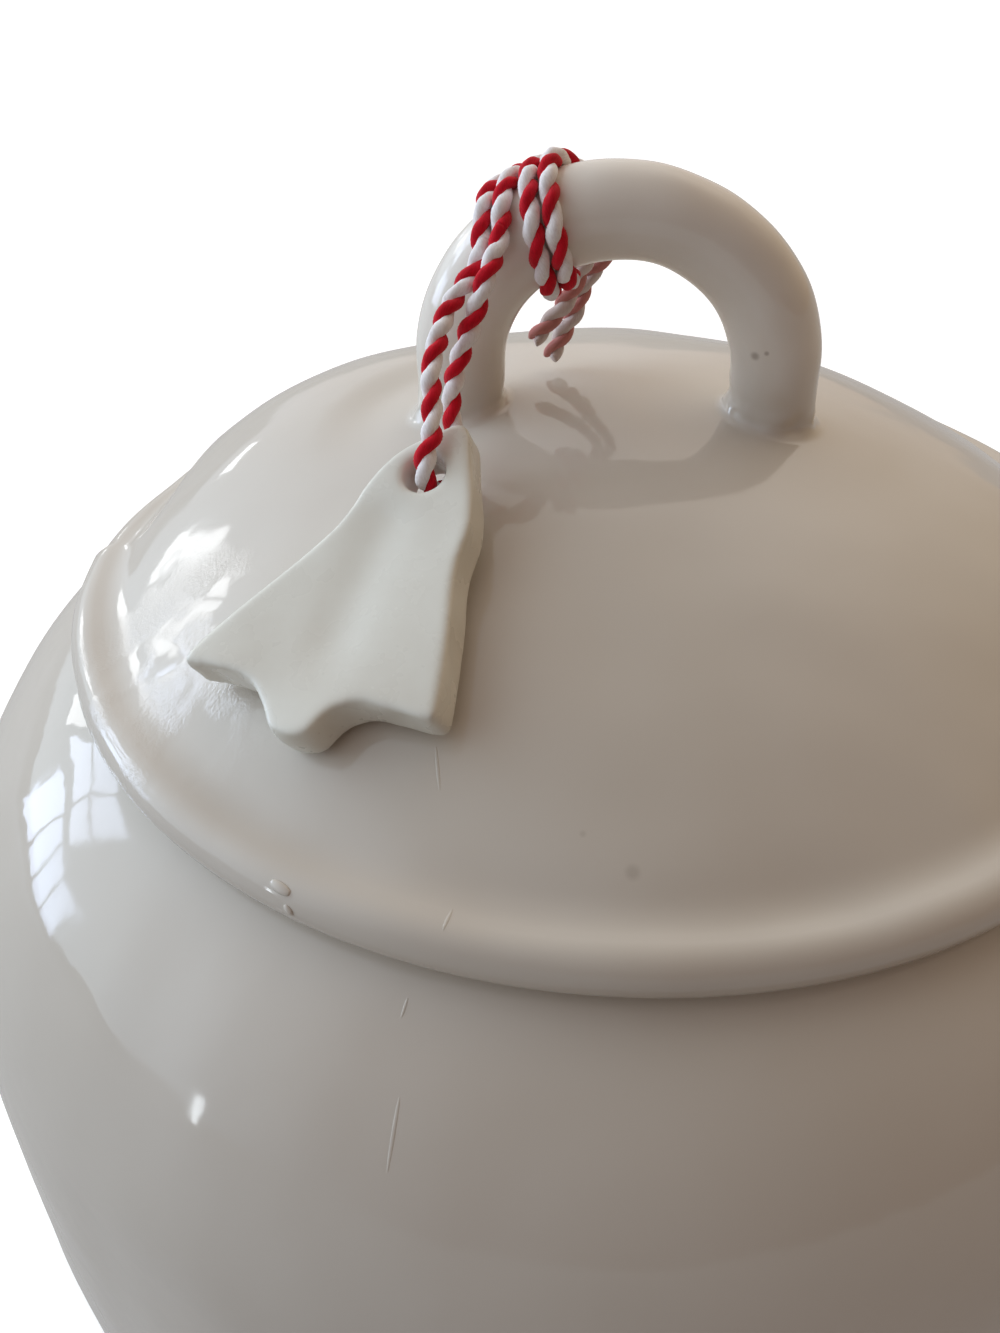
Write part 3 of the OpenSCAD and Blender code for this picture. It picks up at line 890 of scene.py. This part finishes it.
def lid_profile():
    inside = DOME_RADIUS - LID_WALL
    start = math.degrees(math.acos(LID_INSIDE_RADIUS / inside))
    under = arc_line((0, DOME_CENTRE_Z), inside, 90, start, UNDER_STEPS)
    low = -LOCATING_DEPTH
    ring = [under[-4], under[-1], (LID_INSIDE_RADIUS, low), (LOCATING_RADIUS, low), (LOCATING_RADIUS, 0),
            (COVE_CENTRE[0], 0)]
    pieces = [
        under[:-3],
        rounded(ring, RING_ROUNDS),
        arc_line((COVE_CENTRE[0], BRIM_THICKNESS / 2), BRIM_THICKNESS / 2, -90, 90, BRIM_STEPS),
        arc_line(COVE_CENTRE, COVE_RADIUS, 270, 180 + DOME_EDGE_ANGLE, COVE_STEPS)[1:],
        arc_line((0, DOME_CENTRE_Z), DOME_RADIUS, DOME_EDGE_ANGLE, 90, DOME_STEPS)[1:],
    ]
    line = np.concatenate(pieces)
    line[0, 0] = 0
    line[-1, 0] = 0
    return resample(line, LID_SPACING) + [0, JAR_HEIGHT]


def build_lid(glaze):
    points, normals, faces = revolved(lid_profile(), SEGMENTS)
    x, y, z = points.T
    r = np.hypot(x, y)
    brim = smooth_step(r, *DOME_TO_BRIM)
    shift = waves(points, LID_WAVES) + smooth_step(r, *LID_EDGE) * waves(points, LID_EDGE_WAVES)
    away = np.hypot(x - SWELL_PLACE[0], y - SWELL_PLACE[1])
    shift += SWELL * np.exp(-0.5 * (away / SWELL_REACH) ** 2) * (1 - brim)
    for side in (-1, 1):
        away = np.hypot(x - HANDLE_SHIFT - side * ARCH_RADIUS, y)
        shift *= smooth_step(away, *CALM_AT_HANDLE)
    shift *= smooth_step(z, *LID_WAVES_RISE) * (normals[:, 2] > LID_UNDERSIDE)
    points = points + normals * shift[:, None]
    angle = np.degrees(np.arctan2(points[:, 1], points[:, 0]))
    nip = NIP * np.exp(-((angle - NIP_ANGLE) / NIP_REACH) ** 2) * brim
    points[:, :2] *= (1 - nip / np.maximum(r, 1.0))[:, None]
    lid = mesh_object("lid_shell", points, faces, [glaze])
    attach(lid, "lid")
    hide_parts("lid", "lid_ring")
    return lid


# The handle: a bent rod whose feet run out onto the dome, each ring of a foot given by its run and its drop
ROD_SIDES = 72
ROD_TURN = np.linspace(0, 2 * np.pi, ROD_SIDES, endpoint=False)
ARCH_STEPS = 91
LEG_STEPS = 8
FILLET_STEPS = 13
FOOT_FILLET = 1.8
FILLET_WAVES = ((0.12, 14.0, 21),)
FILLET_WAVES_RADIUS = 9.0
FOOT_SINK = 0.9
FOOT_SINK_SHARE = 0.35
FOOT_RUNS = ((3.0, 0.5), (3.6, 0.16), (2.4, 0.07), (1.2, 0.015))
FOOT_CAP_DEPTH = 0.6
ROD_WAVES = ((0.12, 26.0, 13), (0.05, 9.0, 14))
ROD_WAVES_RISE = (1.0, 6.0)
FOOT_WAVES = ((0.14, 4.0, 15),)
FOOT_WAVES_RISE = (0.2, 1.0)
FOOT_WAVES_FALL = (2.5, 5.0)


def dome_height(x, y):
    return DOME_CENTRE[2] + np.sqrt(DOME_RADIUS ** 2 - x ** 2 - y ** 2)


def foot_rings(side):
    """Rings from just under the dome's surface, over the fillet and up one leg to the arch."""
    c, s = np.cos(ROD_TURN), np.sin(ROD_TURN)
    middle = HANDLE_SHIFT + side * ARCH_RADIUS
    around = np.stack([c * FILLET_WAVES_RADIUS + middle, s * FILLET_WAVES_RADIUS, 0 * c], axis=1)
    fillet = FOOT_FILLET * (1 + waves(around, FILLET_WAVES))

    def ring(run, lift):
        x = middle + side * (ROD_RADIUS + run) * c
        y = (ROD_RADIUS + run) * s
        return np.stack([x, y, dome_height(x, y) + lift], axis=1)

    rings = [ring(fillet * FOOT_SINK_SHARE, -FOOT_SINK)]
    rings += [ring(fillet + run, -drop) for run, drop in FOOT_RUNS]
    for t in np.radians(np.linspace(0, 90, FILLET_STEPS)):
        rings.append(ring(fillet * (1 - np.sin(t)), fillet * (1 - np.cos(t))))
    low = rings[-1]
    high = np.stack([middle + side * ROD_RADIUS * c, ROD_RADIUS * s, 0 * c + ARCH_Z], axis=1)
    return rings + [low + (high - low) * t for t in np.linspace(0, 1, LEG_STEPS)[1:-1]]


def handle_rings():
    arch = []
    for t in np.radians(np.linspace(180, 0, ARCH_STEPS)):
        out = np.array([math.cos(t), 0, math.sin(t)])
        around = np.cos(ROD_TURN)[:, None] * out + np.sin(ROD_TURN)[:, None] * np.array([0, 1, 0])
        arch.append(ARCH_CENTRE + ARCH_RADIUS * out + ROD_RADIUS * around)
    return np.array(foot_rings(-1) + arch + foot_rings(1)[::-1])


def build_handle(glaze):
    rings = handle_rings()
    count = len(rings)
    out = unit_rows(rings - rings.mean(axis=1)[:, None]).reshape(-1, 3)
    flat = rings.reshape(-1, 3)
    height = flat[:, 2] - dome_height(flat[:, 0], flat[:, 1])
    low = smooth_step(height, *FOOT_WAVES_RISE) * (1 - smooth_step(height, *FOOT_WAVES_FALL))
    shift = smooth_step(height, *ROD_WAVES_RISE) * waves(flat, ROD_WAVES) + low * waves(flat, FOOT_WAVES)
    ends = np.array([rings[0].mean(axis=0), rings[-1].mean(axis=0)])
    ends[:, 2] = dome_height(ends[:, 0], ends[:, 1]) - FOOT_CAP_DEPTH
    first = count * ROD_SIDES
    faces = tube_faces(count, ROD_SIDES) + cap_faces(0, ROD_SIDES, first)
    faces += cap_faces(first - ROD_SIDES, ROD_SIDES, first + 1)
    handle = mesh_object("handle_rod", np.concatenate([flat + out * shift[:, None], ends]), faces, [glaze])
    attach(handle, "lid")
    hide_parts("lid_handle")


# Small runs and beads that the glaze left: body, two places on its surface, half width, and rise
GLAZE_MARKS = (
    ("lid", (-21, -59, 194), (-20, -64, 191), 0.22, 0.05),
    ("lid", (-39.6, -72.2, 182.4), (-36.8, -73.8, 182), 0.7, 0.36),
    ("lid", (-37.6, -74.1, 180.5), (-36.4, -74.7, 179.4), 0.5, 0.3),
    ("lid", (-17.2, -76, 184), (-18, -79, 183), 0.22, 0.05),
    ("jar", (-22, -89, 166), (-23, -95, 159), 0.25, 0.05),
    ("jar", (-22, -80.5, 173), (-22.6, -82.5, 171.6), 0.2, 0.05),
)
MARK_SIDES = 12
MARK_STEPS = 25


def glaze_mark(name, skin, start, stop, half_width, rise, glaze):
    """A long low drop, half sunk in the skin that it lies on."""
    start, stop = np.asarray(start), np.asarray(stop)
    ahead = unit(stop - start)
    a = np.linspace(0, 2 * np.pi, MARK_SIDES, endpoint=False)
    across, up = half_width * np.cos(a)[:, None], rise * np.sin(a)[:, None]
    rings, ends = [], []
    for t in np.linspace(-1, 1, MARK_STEPS):
        place, normal = skin.find_nearest(Vector((start * (1 - t) + stop * (1 + t)) / 2 * MM))[:2]
        place, normal = np.array(place) / MM, np.array(normal)
        if abs(t) == 1:
            ends.append(place - normal * rise)
            continue
        side = unit(np.cross(normal, ahead))
        rings.append(place + math.sqrt(1 - t * t) * (across * side + up * normal))
    first = len(rings) * MARK_SIDES
    faces = tube_faces(len(rings), MARK_SIDES) + cap_faces(0, MARK_SIDES, first)
    faces += cap_faces(first - MARK_SIDES, MARK_SIDES, first + 1)
    return mesh_object(name, np.concatenate(rings + [ends]), faces, [glaze])


def build_marks(shells):
    skins = {body: BVHTree.FromPolygons([v.co for v in shell.data.vertices],
                                        [p.vertices[:] for p in shell.data.polygons])
             for body, shell in shells.items()}
    for index, (body, *shape) in enumerate(GLAZE_MARKS):
        mark = glaze_mark("glaze_mark_%d" % index, skins[body], *shape, shells[body].data.materials[0])
        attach(mark, body)


# The tag: rolled clay cut to its outline, with soft edges and a fold along its face
OUTLINE_STEPS = 8
HOLE_STEPS = 48
TAG_VOXEL = 0.3
SOFTEN_SHARE = 0.5
SOFTEN_TIMES = 60
FACE_FROM = 0.5
EDGE_DEPTH = 1.6
FOLD_X = 0.4
FOLD_LEAN = -0.127
FOLD_WIDTH = 4.2
FOLD_DEPTH = 0.6
FOLD_RISE = (-9.0, 4.0)
FOLD_FALL = (19.0, 25.0)
FACE_DROP = 0.1
FACE_WAVES = ((0.2, 15.0, 41),)
FACE_WAVES_STRETCH = (1.0, 0.4, 0.0)
EDGE_WAVES = (((0.12, 7.0, 43),), ((0.12, 7.0, 44),))


def tag_blank():
    """Points and faces of the flat tag, cut with its hole, evenly meshed and softened."""
    data = bpy.data.curves.new("tag_cut", "CURVE")
    data.dimensions = "2D"
    data.fill_mode = "BOTH"
    data.extrude = TAG_THICKNESS / 2 * MM
    hole = arc_line(TAG_HOLE, TAG_HOLE_DIAMETER / 2, 0, 360, HOLE_STEPS + 1)[:-1]
    for loop in (closed_spline(TAG_OUTLINE, OUTLINE_STEPS), hole):
        spline = data.splines.new("POLY")
        spline.points.add(len(loop) - 1)
        for point, place in zip(spline.points, loop):
            point.co = (place[0] * MM, place[1] * MM, 0, 1)
        spline.use_cyclic_u = True
    cut = linked("tag_cut", data)
    graph = bpy.context.evaluated_depsgraph_get()
    solid = linked("tag_solid", bpy.data.meshes.new_from_object(cut.evaluated_get(graph)))
    remesh = solid.modifiers.new("even", "REMESH")
    remesh.mode = "VOXEL"
    remesh.voxel_size = TAG_VOXEL * MM
    soften = solid.modifiers.new("soften", "SMOOTH")
    soften.factor = SOFTEN_SHARE
    soften.iterations = SOFTEN_TIMES
    graph = bpy.context.evaluated_depsgraph_get()
    mesh = bpy.data.meshes.new_from_object(solid.evaluated_get(graph))
    points = np.zeros(len(mesh.vertices) * 3, dtype=np.float32)
    mesh.vertices.foreach_get("co", points)
    faces = [tuple(p.vertices) for p in mesh.polygons]
    for old in (cut, solid):
        bpy.data.objects.remove(old)
    return points.reshape(-1, 3).astype(float) / MM, faces


def build_tag(clay):
    points, faces = tag_blank()
    half = TAG_THICKNESS / 2
    x, y, z = points.T.copy()
    front = smooth_step(z, FACE_FROM, half)
    edge = 1 - smooth_step(np.abs(z), half - EDGE_DEPTH, half)
    fold = np.exp(-((x - FOLD_X - FOLD_LEAN * y) / FOLD_WIDTH) ** 2)
    fold *= smooth_step(y, *FOLD_RISE) * (1 - smooth_step(y, *FOLD_FALL))
    uneven = waves(points * FACE_WAVES_STRETCH, FACE_WAVES)
    points[:, 2] += front * (uneven - FACE_DROP - FOLD_DEPTH * fold)
    points[:, :2] += edge[:, None] * np.stack([waves(points, table) for table in EDGE_WAVES], axis=1)
    placed = np.array([on_tag(x, y, z + half) for x, y, z in points])
    tag = mesh_object("tag_tree", placed, faces, [clay])
    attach(tag, "tag")
    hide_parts("tag")


# The floor, the world and the windows, with lengths in metres and directions in degrees
FLOOR_HALF = 6.0
FLOOR_PALE = (0.92, 0.92, 0.92, 1)
FLOOR_BOUNCE = (0.36, 0.35, 0.34, 1)
FLOOR_LIFT = 0.43
FLOOR_WHITE_MIRRORED = 0.3
ROOM_WHITE_MIRRORED = 0.08
ROOM_AMBIENT = (0.15, 0.085, 0.063, 1)
WINDOW_DISTANCE = 1.6
WINDOW_BAR = 0.025
WINDOW_TARGET = Vector((0, 0, 0.17))

# Soft glows of the room: azimuth, elevation, how narrow it is, and colour
ROOM_GLOWS = (
    (-98, 15, 4.0, (1.8, 2.2, 2.5)),
    (150, 48, 14.0, (0.78, 0.75, 0.71)),
    (180, 12, 4.0, (0.5, 0.49, 0.49)),
    (125, 25, 4.0, (0.35, 0.28, 0.12)),
    (165, 55, 4.0, (0.2, 0.17, 0.14)),
)

# Windows: name, azimuths, elevations, columns and rows of panes, radiance, and colour
WINDOWS = (
    ("window_low", (-112, -88), (-4, 10), 4, 1, 4.2, (0.78, 0.92, 1.22)),
    ("window_high", (-116, -98), (12, 27), 2, 2, 4.2, (0.82, 0.94, 1.2)),
    ("window_side", (-131, -118), (9, 19.5), 2, 1, 3.8, (0.98, 1.0, 1.02)),
    ("small_window", (-58.8, -56.2), (-5, 4), 1, 1, 11.0, (0.92, 1.0, 1.06)),
    ("far_window", (-146, -140), (4, 8), 1, 1, 3.5, (0.97, 1.0, 1.03)),
)


def ray_kinds(tree):
    """The kinds of ray, and a value that is 1 for those from the camera, straight or through glass."""
    rays = add(tree, "ShaderNodeLightPath").outputs
    return rays, maths(tree, "MAXIMUM", rays["Is Camera Ray"], rays["Is Transmission Ray"])


def glowing(tree, kind, colour, strength):
    shader = add(tree, kind)
    feed(tree, shader.inputs["Color"], colour)
    feed(tree, shader.inputs["Strength"], strength)
    return shader


def build_floor():
    """A pale floor that keeps the shadow, lifted where the camera sees it and partly white in mirrors."""
    material, tree = new_material("floor_pale")
    rays, seen = ray_kinds(tree)
    plain = add(tree, "ShaderNodeBsdfDiffuse")
    colour = mix_colour(tree, rays["Is Camera Ray"], FLOOR_BOUNCE, FLOOR_PALE)
    tree.links.new(colour, plain.inputs["Color"])
    mirrored = product(tree, rays["Is Glossy Ray"], FLOOR_WHITE_MIRRORED)
    mix = mix_shaders(tree, mirrored, plain, glowing(tree, "ShaderNodeEmission", WHITE, 1.0))
    lift = glowing(tree, "ShaderNodeEmission", WHITE, product(tree, seen, FLOOR_LIFT))
    total = add(tree, "ShaderNodeAddShader")
    tree.links.new(mix.outputs[0], total.inputs[0])
    tree.links.new(lift.outputs[0], total.inputs[1])
    surface(tree, total)
    corners = [(-1, -1), (1, -1), (1, 1), (-1, 1)]
    mesh = bpy.data.meshes.new("floor")
    mesh.from_pydata([(x * FLOOR_HALF, y * FLOOR_HALF, 0) for x, y in corners], [], [(0, 1, 2, 3)])
    mesh.materials.append(material)
    linked("floor", mesh)


def way_of(azimuth, elevation):
    """A direction from the jar: azimuth 0 is towards the viewer, 90 is to the right."""
    a, e = math.radians(azimuth), math.radians(elevation)
    return Vector((math.sin(a) * math.cos(e), -math.cos(a) * math.cos(e), math.sin(e)))


def build_world():
    """A dim warm room with soft glows, white where the camera sees it and a little white in mirrors."""
    world = bpy.data.worlds.new("room")
    world.use_nodes = True
    tree = world.node_tree
    tree.nodes.clear()
    way = add(tree, "ShaderNodeTexCoord").outputs["Generated"]
    room = ROOM_AMBIENT
    for azimuth, elevation, narrow, colour in ROOM_GLOWS:
        dot = add(tree, "ShaderNodeVectorMath", operation="DOT_PRODUCT")
        tree.links.new(way, dot.inputs[0])
        dot.inputs[1].default_value = way_of(azimuth, elevation)
        fall = product(tree, maths(tree, "SUBTRACT", dot.outputs["Value"], 1.0), narrow)
        glow = mix_colour(tree, maths(tree, "EXPONENT", fall), BLACK, (*colour, 1))
        room = mix_colour(tree, 1.0, room, glow, blend="ADD")
    rays, seen = ray_kinds(tree)
    mirrored = product(tree, rays["Is Glossy Ray"], ROOM_WHITE_MIRRORED)
    light = glowing(tree, "ShaderNodeBackground", room, 1.0)
    white = glowing(tree, "ShaderNodeBackground", WHITE, 1.0)
    mix = mix_shaders(tree, maths(tree, "MAXIMUM", seen, mirrored), light, white)
    surface(tree, mix, "ShaderNodeOutputWorld")
    bpy.context.scene.world = world


def build_window(name, azimuths, elevations, columns, rows, radiance, colour):
    """A window of panes, each a lamp that faces the jar, over a span of directions."""
    middle = WINDOW_TARGET + WINDOW_DISTANCE * way_of(sum(azimuths) / 2, sum(elevations) / 2)
    turn = (WINDOW_TARGET - middle).to_track_quat("-Z", "Y").to_matrix()
    wide, high = (2 * WINDOW_DISTANCE * math.tan(math.radians(ends[1] - ends[0]) / 2)
                  for ends in (azimuths, elevations))
    step_x, step_y = wide / columns, high / rows
    for column in range(columns):
        for row in range(rows):
            data = bpy.data.lights.new("%s_%d_%d" % (name, column, row), "AREA")
            data.shape = "RECTANGLE"
            data.size = step_x - WINDOW_BAR
            data.size_y = step_y - WINDOW_BAR
            data.energy = radiance * math.pi * data.size * data.size_y
            data.color = colour
            across = (column - (columns - 1) / 2) * step_x
            along = (row - (rows - 1) / 2) * step_y
            place = middle + turn @ Vector((across, along, 0))
            linked(data.name, data).matrix_world = Matrix.Translation(place) @ turn.to_4x4()


def main():
    build_camera()
    bpy.context.scene.view_settings.view_transform = "Standard"
    build_twine()
    jar = build_jar(glaze_material("jar_glaze_body", JAR_BARE_BELOW))
    lid = build_lid(glaze_material("jar_glaze_lid", LID_BARE_BELOW, pitted=True, specks=LID_SPECKS))
    build_marks({"jar": jar, "lid": lid})
    build_handle(glaze_material("jar_glaze_handle", NEVER_BARE, raised=True, specks=HANDLE_SPECKS))
    build_tag(clay_material())
    build_floor()
    build_world()
    for window in WINDOWS:
        build_window(*window)


main()
